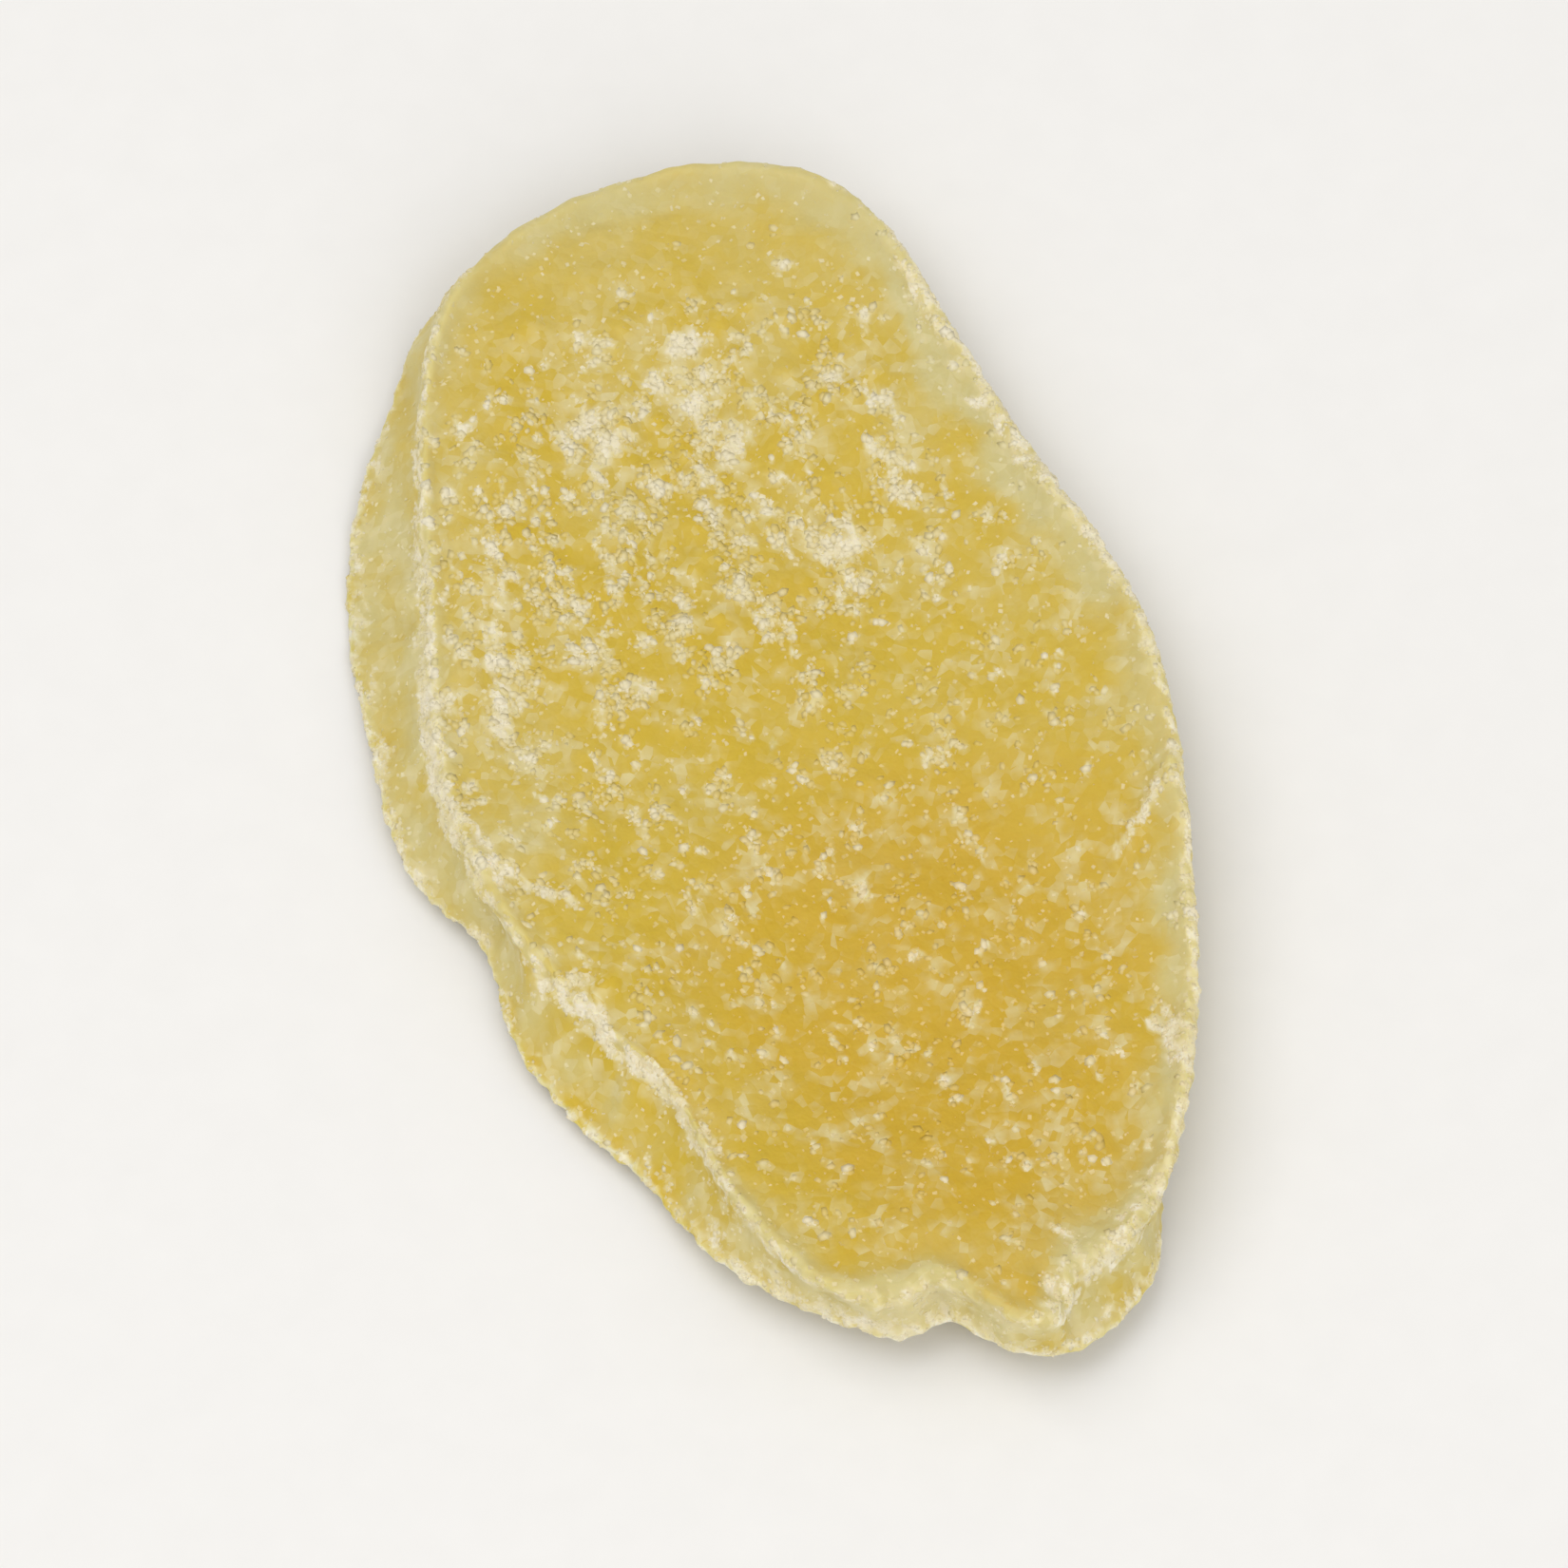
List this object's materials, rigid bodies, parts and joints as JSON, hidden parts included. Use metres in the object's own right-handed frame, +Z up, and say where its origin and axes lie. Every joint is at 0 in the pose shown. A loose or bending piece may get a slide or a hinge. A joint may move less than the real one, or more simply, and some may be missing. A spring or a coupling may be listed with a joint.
{
  "type": "dried ginger slice",
  "caption": "Long oval slice of dried ginger, slightly curled, with a sloping side wall, a puckered end and a sugared face.",
  "frame": {"origin": "on the table under the middle of the slice: the centre of its box in plan, at its lowest level", "axes": "+Y along the slice towards its smooth far end, +X across it to the right, +Z up out of the sugared face"},
  "size_m": [0.03, 0.0532, 0.005],
  "materials": {
    "dried_ginger": "satin, translucent amber under a film of sugar"
  },
  "bodies": {
    "root": {"ginger_slice": "dried_ginger"}
  },
  "joints": []
}
